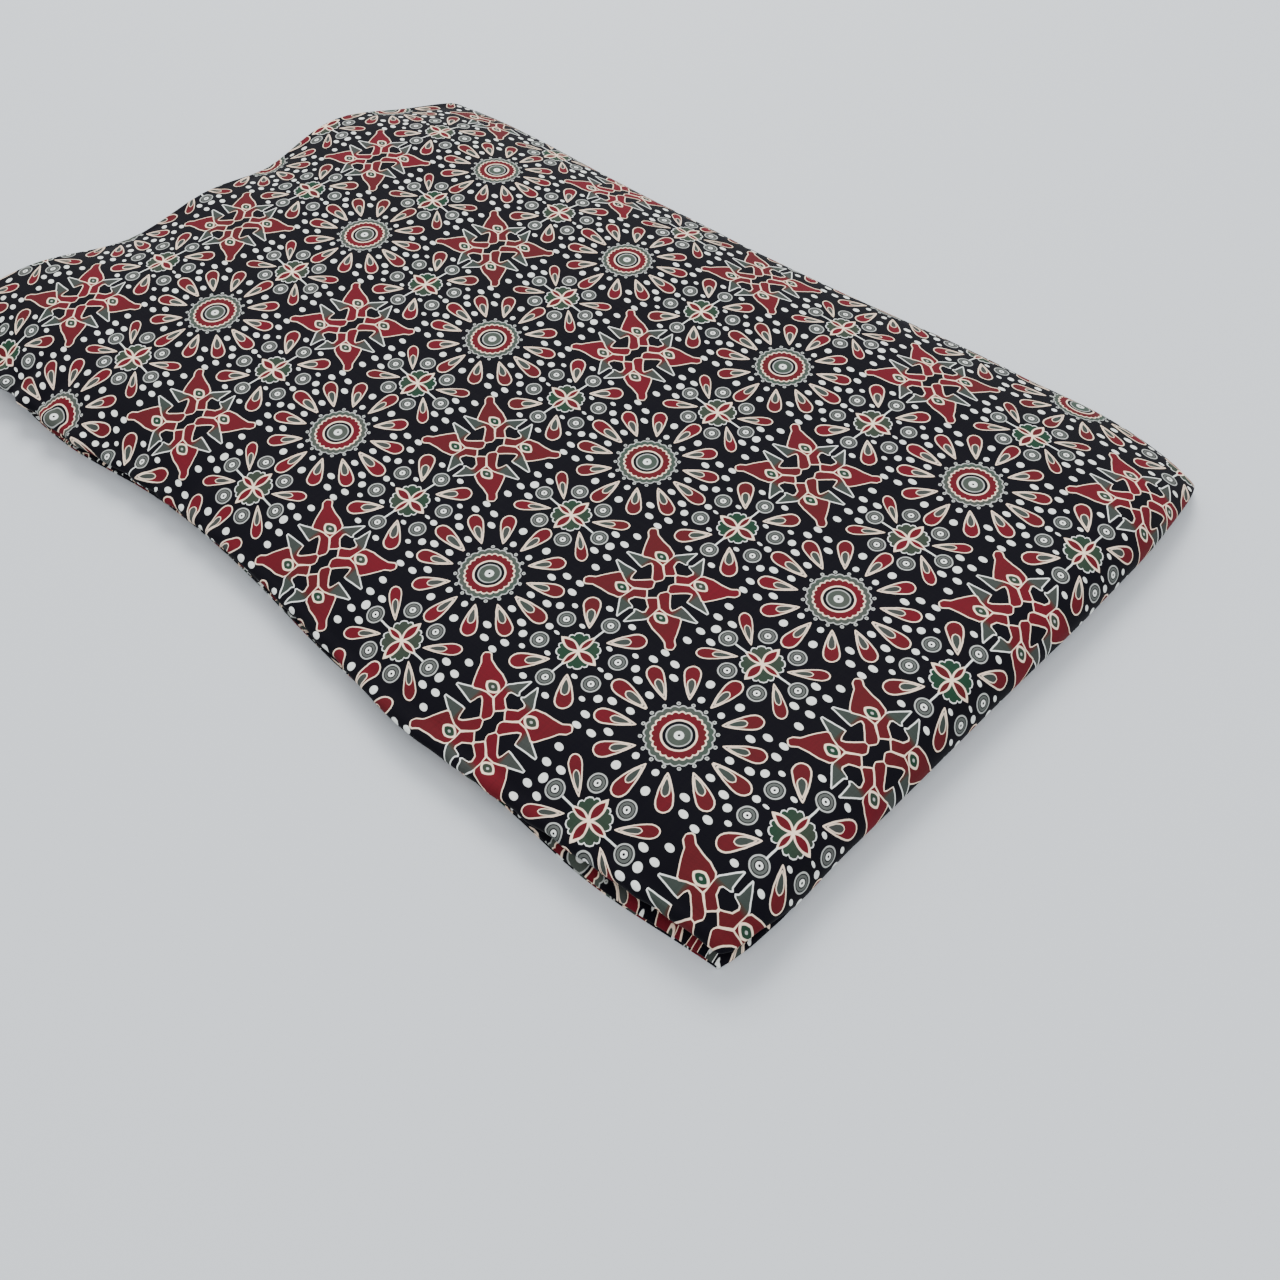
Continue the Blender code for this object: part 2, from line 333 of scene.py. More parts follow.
class Nodes:
    """Short ways to lay shader maths into one node tree."""

    def __init__(self, tree):
        self.tree = tree

    def add(self, kind, **settings):
        """Add a node with its settings."""
        node = self.tree.nodes.new(kind)
        for name, value in settings.items():
            setattr(node, name, value)
        return node

    def feed(self, socket, value):
        """Link a socket, or set its constant."""
        if isinstance(value, bpy.types.NodeSocket):
            self.tree.links.new(value, socket)
        else:
            socket.default_value = value

    def maths(self, operation, *values, clamp=False):
        """One sum of numbers."""
        node = self.add("ShaderNodeMath", operation=operation, use_clamp=clamp)
        for socket, value in zip(node.inputs, values):
            self.feed(socket, value)
        return node.outputs[0]

    def vector(self, operation, *values):
        """One sum of vectors."""
        node = self.add("ShaderNodeVectorMath", operation=operation)
        for socket, value in zip(node.inputs, values):
            self.feed(socket, value)
        if operation in ("LENGTH", "DISTANCE", "DOT_PRODUCT"):
            return node.outputs["Value"]
        return node.outputs["Vector"]

    def pair(self, first, second):
        """Two numbers as one vector."""
        node = self.add("ShaderNodeCombineXYZ")
        self.feed(node.inputs[0], first)
        self.feed(node.inputs[1], second)
        return node.outputs[0]

    def split(self, value):
        """The first two numbers of a vector."""
        node = self.add("ShaderNodeSeparateXYZ")
        self.feed(node.inputs[0], value)
        return node.outputs[0], node.outputs[1]

    def inside(self, depth, softness=PRINT_EDGE):
        """One where the depth is above zero, with a soft edge."""
        return self.maths("MULTIPLY_ADD", depth, 1.0 / softness, 0.5, clamp=True)

    def choose(self, first, second, share):
        """A vector from two, by a share."""
        node = self.add("ShaderNodeMix", data_type="VECTOR")
        self.feed(node.inputs[0], share)
        self.feed(node.inputs[4], first)
        self.feed(node.inputs[5], second)
        return node.outputs[1]

    def blend(self, first, second, share):
        """A number from two, by a share."""
        node = self.add("ShaderNodeMix", data_type="FLOAT")
        self.feed(node.inputs[0], share)
        self.feed(node.inputs[2], first)
        self.feed(node.inputs[3], second)
        return node.outputs[0]

    def over(self, under, colour, share, mode="MIX"):
        """A colour laid over another, by a share."""
        node = self.add("ShaderNodeMix", data_type="RGBA", blend_type=mode)
        self.feed(node.inputs[0], share)
        self.feed(node.inputs[6], under)
        self.feed(node.inputs[7], colour)
        return node.outputs[2]

    def noise(self, where, scale, detail):
        """Cloudy noise of a scale."""
        node = self.add("ShaderNodeTexNoise", noise_dimensions="3D")
        self.feed(node.inputs["Vector"], where)
        node.inputs["Scale"].default_value = scale
        node.inputs["Detail"].default_value = detail
        return node

    def spread(self, value, low, high, new_low=0.0, new_high=1.0):
        """A number spread from one range to another."""
        node = self.add("ShaderNodeMapRange")
        for socket, number in zip(node.inputs, (value, low, high, new_low, new_high)):
            self.feed(socket, number)
        return node.outputs[0]

    def curve(self, where, points):
        """A curve of straight pieces through points whose places run from 0 to 1."""
        node = self.add("ShaderNodeFloatCurve")
        node.mapping.use_clip = False
        node.mapping.extend = "HORIZONTAL"
        line = node.mapping.curves[0]
        line.points[0].location = points[0]
        line.points[-1].location = points[-1]
        for place, value in points[1:-1]:
            line.points.new(place, value)
        for point in line.points:
            point.handle_type = "VECTOR"
        node.mapping.update()
        self.feed(node.inputs["Value"], where)
        return node.outputs[0]

    def bands(self, radius, rows, reach):
        """Rings of ink round a middle: each starts at its radius."""
        node = self.add("ShaderNodeValToRGB")
        ramp = node.color_ramp
        ramp.interpolation = "LINEAR"
        stops = [(0.0, rows[0][1])]
        soft = PRINT_EDGE / 2
        for (_, before), (start, ink) in zip(rows, rows[1:]):
            stops.append(((start - soft) / reach, before))
            stops.append(((start + soft) / reach, ink))
        while len(ramp.elements) < len(stops):
            ramp.elements.new(1.0)
        for element, (place, ink) in zip(ramp.elements, stops):
            element.position = place
            element.color = ink
        self.feed(node.inputs[0], self.maths("MULTIPLY", radius, 1.0 / reach))
        return node.outputs[0]


def new_group(name, inputs, outputs):
    """A shader node group with named sockets, and its two end nodes."""
    group = bpy.data.node_groups.new(name, "ShaderNodeTree")
    for label, kind, value in inputs:
        socket = group.interface.new_socket(label, in_out="INPUT", socket_type=kind)
        if value is not None:
            socket.default_value = value
    for label, kind in outputs:
        group.interface.new_socket(label, in_out="OUTPUT", socket_type=kind)
    nodes = Nodes(group)
    return group, nodes, nodes.add("NodeGroupInput"), nodes.add("NodeGroupOutput")


def sampled(table, count=97):
    """A drawn edge, read at even places from the first row to the last."""
    places = np.linspace(table[0][0], table[-1][0], count)
    return places, np.interp(places, [row[0] for row in table], [row[1] for row in table])


def drawn_in(places, values, width, upper):
    """The edge moved in by the width of a line, measured square to the edge."""
    step = places[1] - places[0]
    reach = int(width / step)
    sign = -1.0 if upper else 1.0
    moved = []
    for index in range(len(places)):
        near = range(max(0, index - reach), min(len(places), index + reach + 1))
        rise = [sign * values[k] + math.sqrt(width ** 2 - (step * (k - index)) ** 2) for k in near]
        moved.append(sign * max(rise))
    return np.array(moved)


def edge_curve(nodes, where, places, values):
    """A curve node for one edge, with its places spread from 0 to 1."""
    span = places[-1] - places[0]
    return nodes.curve(where, list(zip((places - places[0]) / span, values)))


def two_edged(nodes, along, across, outer, inner, width):
    """Depth inside a shape between two drawn edges, and inside its line."""
    places, high = sampled(outer)
    _, low = sampled(inner)
    depths = []
    for step in (0.0, width):
        top = drawn_in(places, high, step, True) if step else high
        bottom = drawn_in(places, low, step, False) if step else low
        above = nodes.maths("SUBTRACT", edge_curve(nodes, along, places, top), across)
        below = nodes.maths("SUBTRACT", across, edge_curve(nodes, along, places, bottom))
        depths.append(nodes.inside(nodes.maths("MINIMUM", above, below)))
    return depths


def leaf(nodes, along, across, start, length, half_width):
    """Share inside a leaf that runs along an axis, widest in its middle."""
    place = nodes.maths("MULTIPLY_ADD", along, 1.0 / length, -start / length)
    rest = nodes.maths("SUBTRACT", 1.0, place)
    swell = nodes.maths("MULTIPLY", place, rest)
    depth = nodes.maths("MULTIPLY_ADD", swell, 4.0 * half_width, nodes.maths("MULTIPLY", across, -1.0))
    return nodes.inside(depth)


def print_coordinates(nodes, place):
    """Places in one quarter of the repeat, which mirrors fill out."""
    across_cloth, along_cloth = nodes.split(place)
    row = nodes.maths("MULTIPLY_ADD", across_cloth, -1.0 / REPEAT_ACROSS, REPEAT_PLACE[0] / REPEAT_ACROSS)
    column = nodes.maths("MULTIPLY_ADD", along_cloth, 1.0 / REPEAT_ALONG, -REPEAT_PLACE[1] / REPEAT_ALONG)
    column = nodes.maths("MULTIPLY_ADD", row, -REPEAT_LEAN, column)
    u = nodes.maths("PINGPONG", column, HALF_ALONG)
    v = nodes.maths("MULTIPLY", nodes.maths("PINGPONG", row, HALF_ALONG), REPEAT_SHAPE)
    return u, v


def draw_rosette(nodes, here, angle):
    """The round rosette with its scalloped rings and beads."""
    radius = nodes.vector("LENGTH", here)
    wave = nodes.maths("ABSOLUTE", nodes.maths("SINE", nodes.maths("MULTIPLY", angle, ROSETTE_SCALLOPS)))
    wave = nodes.maths("MULTIPLY", wave, nodes.spread(radius, *ROSETTE_SCALLOP_START))
    scalloped = nodes.maths("MULTIPLY_ADD", wave, -ROSETTE_SCALLOP_DEPTH, radius)
    ink = nodes.bands(scalloped, ROSETTE_BANDS, ROSETTE_REACH)
    aside = nodes.maths("MULTIPLY", nodes.maths("PINGPONG", angle, BEAD_STEP), BEAD_RING)
    bead = nodes.vector("LENGTH", nodes.pair(aside, nodes.maths("SUBTRACT", radius, BEAD_RING)))
    ring = nodes.maths("COMPARE", bead, BEAD_RADIUS, BEAD_LINE)
    return nodes.over(ink, PALE_GREY, ring)


def draw_petals(nodes, ink, here, u, v, angle):
    """Petals: the nearest one is looked up, and drawn in its own measures."""
    lengthwise = []
    for tip, end, half_width in PETALS:
        run = (end[0] - tip[0], end[1] - tip[1])
        length = math.hypot(*run)
        node = nodes.add("ShaderNodeMapping", vector_type="TEXTURE")
        nodes.feed(node.inputs["Vector"], here)
        node.inputs["Location"].default_value = (tip[0], tip[1], 0.0)
        node.inputs["Rotation"].default_value = (0.0, 0.0, math.atan2(run[1], run[0]))
        node.inputs["Scale"].default_value = (length, half_width / PETAL_WIDEST, 1.0)
        lengthwise.append(node.outputs[0])
    chosen = lengthwise[0]
    for place, limit in zip(lengthwise[1:4], PETAL_ANGLES):
        beyond = nodes.maths("GREATER_THAN", angle, math.radians(limit))
        chosen = nodes.choose(chosen, place, beyond)
    past = [nodes.maths("SUBTRACT", place, start) for place, start in zip((u, v), FIFTH_PETAL_START)]
    beyond = nodes.maths("GREATER_THAN", nodes.maths("MINIMUM", *past), 0.0)
    chosen = nodes.choose(chosen, lengthwise[4], beyond)
    chosen = nodes.choose(chosen, lengthwise[5], nodes.maths("GREATER_THAN", v, SIXTH_PETAL_START))

    along, across = nodes.split(chosen)
    across = nodes.maths("ABSOLUTE", across)
    soft = PRINT_EDGE / PETAL_LENGTH
    line = LINE_WIDTH / PETAL_LENGTH
    fills = []
    for table, width in ((PETAL_EDGE, line), (PETAL_DROP, line * DROP_LINE_SHARE)):
        places, values = sampled(table)
        for moved in (values, drawn_in(places, values, width, True)):
            depth = nodes.maths("SUBTRACT", edge_curve(nodes, along, places, moved), across)
            fills.append(nodes.inside(depth, soft))
    ink = nodes.over(ink, PINK_CREAM, fills[0])
    ink = nodes.over(ink, GROUND, fills[1])
    end = nodes.spread(along, *PETAL_RED_START)
    ink = nodes.over(ink, RED, nodes.maths("MULTIPLY", fills[1], end))
    ink = nodes.over(ink, PINK_CREAM, fills[2])
    return nodes.over(ink, DARK_GREY, fills[3])


def draw_dots(nodes, ink, here):
    """Loose cream dots."""
    nearest = None
    for u, v, half_width, half_height in DOTS:
        scale = (1.0 / half_width, 1.0 / half_height, 0.0)
        shift = (-u / half_width, -v / half_height, 0.0)
        reach = nodes.vector("LENGTH", nodes.vector("MULTIPLY_ADD", here, scale, shift))
        nearest = reach if nearest is None else nodes.maths("MINIMUM", nearest, reach)
    depth = nodes.maths("SUBTRACT", 1.0, nearest)
    return nodes.over(ink, CREAM, nodes.inside(depth, PRINT_EDGE / DOT_SIZE))


def draw_circles(nodes, ink, here):
    """Small circles with rings."""
    nearest = None
    for place in CIRCLES:
        reach = nodes.vector("DISTANCE", here, (place[0], place[1], 0.0))
        nearest = reach if nearest is None else nodes.maths("MINIMUM", nearest, reach)
    rings = nodes.bands(nearest, CIRCLE_BANDS, CIRCLE_REACH)
    inside = nodes.inside(nodes.maths("SUBTRACT", CIRCLE_BANDS[-1][0], nearest))
    return nodes.over(ink, rings, inside)


def draw_flower(nodes, ink, u, v, left, down):
    """Small flower with two pairs of leaves and four scalloped lobes."""
    other = nodes.maths("GREATER_THAN", u, FLOWER_SIDE)
    along = nodes.blend(down, left, other)
    aside = nodes.blend(u, v, other)
    reach = nodes.vector("LENGTH", nodes.pair(along, aside))
    turn = nodes.maths("MULTIPLY", nodes.maths("ARCTAN2", aside, along), 2.0 / math.pi)
    edge = nodes.curve(turn, FLOWER_LOBES)
    depth = nodes.maths("SUBTRACT", edge, reach)
    ink = nodes.over(ink, CREAM, nodes.inside(depth))
    lobe = nodes.inside(nodes.maths("SUBTRACT", depth, LINE_WIDTH * LOBE_LINE_SHARE))
    ink = nodes.over(ink, GREEN, lobe)
    ink = nodes.over(ink, PINK_CREAM, leaf(nodes, along, aside, *WIDE_LEAF_LINE))
    ink = nodes.over(ink, PINK_CREAM, leaf(nodes, aside, along, *THIN_LEAF_LINE))
    pin = nodes.maths("SUBTRACT", PIN_HALF_WIDTH, along)
    pin = nodes.maths("MINIMUM", pin, nodes.maths("SUBTRACT", aside, PIN_START))
    pin = nodes.maths("MINIMUM", pin, nodes.maths("SUBTRACT", PIN_END, aside))
    ink = nodes.over(ink, CREAM, nodes.inside(pin))
    ink = nodes.over(ink, RED, leaf(nodes, along, aside, *WIDE_LEAF))
    return nodes.over(ink, RED, leaf(nodes, aside, along, *THIN_LEAF))


def draw_star(nodes, ink, left, down):
    """A quarter of the star: two hooked arrows, the flame and its eye."""
    down_share = nodes.maths("MULTIPLY", down, 1.0 / STAR_SPAN)
    left_share = nodes.maths("MULTIPLY", left, 1.0 / STAR_SPAN)
    line, fill = two_edged(nodes, down_share, left, BARB_OUTER, BARB_INNER, LINE_WIDTH)
    tip = nodes.spread(down, *BARB_TIP)
    ink = nodes.over(ink, nodes.over(PINK_CREAM, CREAM, tip), line)
    ink = nodes.over(ink, nodes.over(RED, DARK_GREY, tip), fill)
    line, fill = two_edged(nodes, left_share, down, ARROW_LOWER, ARROW_UPPER, LINE_WIDTH)
    tip = nodes.spread(left, *ARROW_TIP)
    ink = nodes.over(ink, nodes.over(PINK_CREAM, CREAM, tip), line)
    ink = nodes.over(ink, nodes.over(RED, DARK_GREY, tip), fill)
    line, fill = two_edged(nodes, down_share, left, FLAME_OUTER, FLAME_INNER, LINE_WIDTH)
    ink = nodes.over(ink, PINK_CREAM, line)
    ink = nodes.over(ink, RED, fill)
    here = nodes.pair(left, down)
    for half_width, half_height, colour in EYE_RINGS:
        scale = (1.0 / half_width, 1.0 / half_height, 0.0)
        shift = (-EYE_PLACE[0] / half_width, -EYE_PLACE[1] / half_height, 0.0)
        aside, along = nodes.split(nodes.vector("MULTIPLY_ADD", here, scale, shift))
        lean = nodes.maths("ADD", nodes.maths("ABSOLUTE", aside), nodes.maths("ABSOLUTE", along))
        reach = nodes.blend(lean, nodes.vector("LENGTH", nodes.pair(aside, along)), EYE_ROUNDNESS)
        depth = nodes.maths("SUBTRACT", 1.0, reach)
        ink = nodes.over(ink, colour, nodes.inside(depth, PRINT_EDGE / half_width))
    return ink


def ajrakh_print():
    """The printed repeat, as shares of red, green and cream ink."""
    group, nodes, start, end = new_group(
        "ajrakh_print",
        [("Place", "NodeSocketVector", None), ("Waver", "NodeSocketFloat", PRINT_WAVER)],
        [("Ink", "NodeSocketColor")],
    )
    place, waver = start.outputs["Place"], start.outputs["Waver"]
    shake = nodes.noise(place, WAVER_SCALE, detail=2.0).outputs["Color"]
    shake = nodes.vector("SUBTRACT", shake, (0.5, 0.5, 0.5))
    node = nodes.add("ShaderNodeVectorMath", operation="SCALE")
    nodes.feed(node.inputs[0], shake)
    nodes.feed(node.inputs["Scale"], waver)
    place = nodes.vector("ADD", place, node.outputs[0])
    u, v = print_coordinates(nodes, place)
    here = nodes.pair(u, v)
    angle = nodes.maths("ARCTAN2", v, u)
    left = nodes.maths("SUBTRACT", HALF_ALONG, u)
    down = nodes.maths("SUBTRACT", HALF_ACROSS, v)
    ink = draw_rosette(nodes, here, angle)
    ink = draw_petals(nodes, ink, here, u, v, angle)
    ink = draw_dots(nodes, ink, here)
    ink = draw_circles(nodes, ink, here)
    ink = draw_flower(nodes, ink, u, v, left, down)
    ink = draw_star(nodes, ink, left, down)
    nodes.feed(end.inputs["Ink"], ink)
    return group


def cotton_weave():
    """Plain weave: a height, and a light and dark share of its threads."""
    group, nodes, start, end = new_group(
        "cotton_weave",
        [("Place", "NodeSocketVector", None), ("Threads", "NodeSocketFloat", THREADS)],
        [("Height", "NodeSocketFloat"), ("Slub", "NodeSocketFloat")],
    )
    across, along = nodes.split(start.outputs["Place"])
    turns = nodes.maths("MULTIPLY", start.outputs["Threads"], math.pi)
    warp = nodes.maths("SINE", nodes.maths("MULTIPLY", across, turns))
    weft = nodes.maths("SINE", nodes.maths("MULTIPLY", along, turns))
    crossing = nodes.maths("MULTIPLY", warp, weft)
    nodes.feed(end.inputs["Height"], nodes.maths("MULTIPLY_ADD", crossing, 0.5, 0.5))
    lengthwise = nodes.vector("MULTIPLY", start.outputs["Place"], (SLUB_STRETCH, SLUB_SQUEEZE, 1.0))
    crosswise = nodes.vector("MULTIPLY", start.outputs["Place"], (SLUB_SQUEEZE, SLUB_STRETCH, 1.0))
    first = nodes.noise(lengthwise, SLUB_SCALE, detail=1.0).outputs["Fac"]
    second = nodes.noise(crosswise, SLUB_SCALE, detail=1.0).outputs["Fac"]
    nodes.feed(end.inputs["Slub"], nodes.maths("MULTIPLY", nodes.maths("ADD", first, second), 0.5))
    return group


def use_group(nodes, group, **values):
    """Place a group in a tree with its values."""
    node = nodes.add("ShaderNodeGroup")
    node.node_tree = group
    for name, value in values.items():
        nodes.feed(node.inputs[name], value)
    return node


def printed_cotton(print_group, weave_group):
    """Dark printed cotton with a soft bloom."""
    material = bpy.data.materials.new("printed_cotton")
    material.use_nodes = True
    nodes = Nodes(material.node_tree)
    shader = material.node_tree.nodes["Principled BSDF"]
    place = nodes.add("ShaderNodeUVMap", uv_map="cloth").outputs[0]
    ink = use_group(nodes, print_group, Place=place).outputs["Ink"]
    weave = use_group(nodes, weave_group, Place=place)
    parts = nodes.add("ShaderNodeSeparateColor")
    nodes.feed(parts.inputs[0], ink)
    red_share, green_share, cream_share = parts.outputs[:3]

    patches = nodes.noise(place, PATCH_SCALE, detail=2.0).outputs["Fac"]
    flecks = nodes.noise(place, FLECK_SCALE, detail=3.0).outputs["Fac"]
    ground = nodes.over(*GROUND_SHADES, patches)
    red = nodes.over(*RED_SHADES, nodes.spread(patches, *RED_PATCHES))
    green = nodes.over(*GREEN_SHADES, nodes.spread(patches, *GREEN_PATCHES))
    pale = nodes.over(*PALE_SHADES, flecks)
    warm = nodes.over(*WARM_SHADES, flecks)
    cream = nodes.over(pale, warm, nodes.spread(red_share, *WARM_SHARE))
    colour = nodes.over(ground, red, red_share)
    colour = nodes.over(colour, green, green_share)
    colour = nodes.over(colour, cream, cream_share)
    slub = nodes.spread(weave.outputs["Slub"], *SLUB_RANGE, *SLUB_TINT)
    tint = nodes.add("ShaderNodeCombineColor")
    for socket in tint.inputs[:3]:
        nodes.feed(socket, slub)
    colour = nodes.over(colour, tint.outputs[0], 1.0, mode="MULTIPLY")
    nodes.feed(shader.inputs["Base Color"], colour)
    roughness = nodes.spread(weave.outputs["Slub"], *SLUB_RANGE, *COTTON_ROUGHNESS)
    nodes.feed(shader.inputs["Roughness"], roughness)
    shader.inputs["Sheen Weight"].default_value = SHEEN_WEIGHT
    shader.inputs["Sheen Roughness"].default_value = SHEEN_ROUGHNESS
    shader.inputs["Specular IOR Level"].default_value = COTTON_SPECULAR
    bump = nodes.add("ShaderNodeBump")
    bump.inputs["Strength"].default_value = WEAVE_STRENGTH
    bump.inputs["Distance"].default_value = WEAVE_DEPTH
    nodes.feed(bump.inputs["Height"], weave.outputs["Height"])
    nodes.feed(shader.inputs["Normal"], bump.outputs[0])
    return material


def smooth_read(table, column, where):
    """Read a column of a table with a smooth curve through its rows."""
    places = np.array([row[0] for row in table])
    values = np.array([row[column] for row in table])
    slopes = np.gradient(values, places)
    where = np.clip(where, places[0], places[-1])
    index = np.clip(np.searchsorted(places, where) - 1, 0, len(places) - 2)
    step = places[index + 1] - places[index]
    t = (where - places[index]) / step
    rise_from = (1 + 2 * t) * (1 - t) ** 2 * values[index]
    leave = t * (1 - t) ** 2 * step * slopes[index]
    rise_to = t * t * (3 - 2 * t) * values[index + 1]
    arrive = t * t * (t - 1) * step * slopes[index + 1]
    return rise_from + leave + rise_to + arrive


def loss(distance, width, share):
    """Share of the height that is lost at a distance inside a border."""
    outside = 1.0 - np.clip(distance / width, 0.0, 1.0)
    return share * outside ** 2


def height_factor(x, y):
    """Height of the pile at a place, as a share of its even height."""
    across = np.clip(y / TOP_HALF_WIDTH, -1.0, 1.0)
    middle = smooth_read(TOP_HEIGHT, 2, x)
    side = np.where(across < 0, smooth_read(TOP_HEIGHT, 1, x), smooth_read(TOP_HEIGHT, 3, x))
    factor = (middle + (side - middle) * across ** 2) / STACK_HEIGHT
    near = loss(y - smooth_read(NEAR_SIDE, 1, x), *NEAR_ROUNDING)
    far = loss(smooth_read(FAR_SIDE, 1, x) - y, *FAR_ROUNDING)
    fold = loss(smooth_read(DOUBLING_FOLD, 1, y) - x, *FOLD_ROUNDING)
    wave = np.sin(2 * math.pi * y / SELVEDGE_WAVE_LENGTH)
    width, share = SELVEDGE_ROUNDING
    share = share * (1.0 + SELVEDGE_WAVE_SHARE * wave)
    selvedge = loss(x - smooth_read(SELVEDGES, 1, y), width, share)
    return factor * (1.0 - np.sqrt(near ** 2 + far ** 2 + fold ** 2 + selvedge ** 2))


def edge_reach(edge, x):
    """Place across Y of the outer face of one panel edge."""
    inset, height, length, phase = PANEL_EDGES[edge]
    near = edge % 2 == 0
    side = smooth_read(NEAR_SIDE if near else FAR_SIDE, 1, x)
    out = height * np.sin(2 * math.pi * x / length + phase) - inset
    for bulge_edge, place, reach, half_length in BULGES:
        if bulge_edge == edge:
            out = out + reach * np.exp(-((x - place) / half_length) ** 2)
    return side - out if near else side + out


def edge_place(edge, x):
    """Place across Y where the strip line starts its fold at a panel edge."""
    reach = edge_reach(edge, x)
    if edge in (0, PANELS):
        return reach
    return reach + FOLD_REACH if edge % 2 == 0 else reach - FOLD_REACH


def border_shares(steps, gather):
    """Shares from 0 to 1 that gather near both ends."""
    even = np.linspace(0.0, 1.0, steps + 1)
    return even - gather * np.sin(2 * math.pi * even) / (2 * math.pi)


def strip_line():
    """Stations of the strip line: panel, share of its width, fold angle."""
    stations = []
    for panel in range(PANELS):
        steps = TOP_STEPS if panel == PANELS - 1 else INNER_STEPS
        for share in border_shares(steps, STRIP_GATHER)[0 if panel == 0 else 1:]:
            stations.append((panel, share, 0.0))
        if panel < PANELS - 1:
            for step in range(1, FOLD_STEPS + 1):
                stations.append((panel, 1.0, math.pi * step / FOLD_STEPS))
    return stations


def hairpin_line():
    """Stations of the hairpin: share of the length, ply, turn angle."""
    stations = []
    for share in border_shares(OUTER_LENGTH_STEPS, OUTER_GATHER):
        stations.append((share, 0, 0.0))
    for step in range(1, HAIRPIN_STEPS):
        stations.append((1.0, 0, math.pi * step / HAIRPIN_STEPS))
    for share in border_shares(INNER_LENGTH_STEPS, INNER_GATHER)[::-1]:
        stations.append((share, 1, math.pi))
    return stations


def pucker(x):
    """Small uneven pleats along the near folds."""
    height = np.zeros_like(x)
    for place, half_length, rise, wave_length, phase in PUCKERS:
        swell = rise * np.exp(-((x - place) / half_length) ** 2)
        height = height + swell * np.sin(2 * math.pi * (x - place) / wave_length + phase)
    return height


def fold_places(strips, hairpins):
    """Places of all points of the sheet's middle surface, row by row."""
    length_share = np.array([row[0] for row in hairpins])
    ply = np.array([row[1] for row in hairpins])
    turn = np.array([row[2] for row in hairpins])
    offset = HAIRPIN_RADIUS * np.cos(turn)
    lead = HAIRPIN_RADIUS * np.sin(turn)
    rows = []
    for panel, share, angle in strips:
        heading = 1.0 if panel % 2 == 0 else -1.0
        order = panel + angle / math.pi
        top = 1.0 if panel == PANELS - 1 else 0.0
        if panel == PANELS - 2:
            top = (1.0 - math.cos(angle)) / 2
        across = -TOP_HALF_WIDTH + 2 * TOP_HALF_WIDTH * (share if heading > 0 else 1.0 - share)
        fold_end = smooth_read(DOUBLING_FOLD, 1, across) + smooth_read(PANEL_ENDS, 1, order)
        ends = np.array([smooth_read(PANEL_ENDS, 2, order), smooth_read(PANEL_ENDS, 3, order)])
        selvedge = smooth_read(SELVEDGES, 1, across) + ends[ply]
        fold_end = fold_end - HAIRPIN_RADIUS - PLY / 2

        # Along X, where the top panel turns down round the front in a quarter circle
        bend_start = fold_end - FRONT_BEND
        spare = top * FRONT_BEND * (math.pi / 2 - 1.0)
        x = selvedge + (fold_end + spare - selvedge) * length_share
        bend = np.clip((x - bend_start) / FRONT_BEND, 0.0, math.pi / 2)
        x = np.where(bend > 0, x + top * (bend_start + FRONT_BEND * np.sin(bend) - x), x)
        lean = top * bend

        # Across Y, from one panel fold to the next
        from_edge = edge_place(panel, x)
        to_edge = edge_place(panel + 1, x)
        y = from_edge + (to_edge - from_edge) * share
        if panel % 2:
            y = y - pucker(x) * math.sin(angle)
        y = y + (heading * FOLD_RADIUS - offset) * math.sin(angle)

        # Height, with the swell and the puckers of the near folds
        inside = y - smooth_read(NEAR_SIDE, 1, x)
        swell = NEAR_SWELL[1] * np.exp(-(inside / NEAR_SWELL[0]) ** 2) * min(panel, 1)
        middle = PANEL_THICKNESS / 2 + panel * PANEL_PITCH + FOLD_RADIUS * (1.0 - math.cos(angle))
        middle = middle + swell * (heading if angle == 0.0 else -math.cos(angle))
        factor = height_factor(x, y)
        ripple = pucker(x) * np.exp(-(inside / PUCKER_WIDTH) ** 2) * order / PANELS
        z = middle + heading * offset * math.cos(angle) * np.cos(lean)
        z = LOWEST_PLY + (z - LOWEST_PLY) * factor + ripple

        # The top panel's turn at the front, and its loose far edge
        fade = np.clip(inside / FRONT_FADE[0], FRONT_FADE[1], 1.0)
        z = z - top * FRONT_DROP * fade * factor ** 2 * (1.0 - np.cos(bend)) - lead * np.sin(lean)
        x = x + heading * offset * math.cos(angle) * np.sin(lean) + lead * np.cos(lean)
        if panel == PANELS - 1:
            over = 1.0 - np.clip((smooth_read(FAR_SIDE, 1, x) - y) / FLAP_WIDTH, 0.0, None)
            z = z - FLAP_DROP * np.clip(over, 0.0, None) ** FLAP_CURVE
        rows.append(np.stack([x - PILE_CENTRE[0], y - PILE_CENTRE[1], z], axis=-1))
    return np.array(rows)


def cloth_measures(places, row, column):
    """Where each point lies on the flat cloth, kept true at one row and column."""
    down = np.linalg.norm(np.diff(places[:, :, 1:], axis=0), axis=2)
    along = np.concatenate([np.zeros((1, places.shape[1])), np.cumsum(down, axis=0)])
    along = along - along[row] + places[row, :, 1]
    right = np.linalg.norm(np.diff(places[:, :, ::2], axis=1), axis=2)
    across = np.concatenate([np.zeros((places.shape[0], 1)), np.cumsum(right, axis=1)], axis=1)
    across = across - across[:, column:column + 1] + places[:, column:column + 1, 0]
    return across, along + BOW_SHIFT - CLOTH_BOW * (across - BOW_MIDDLE) ** 2


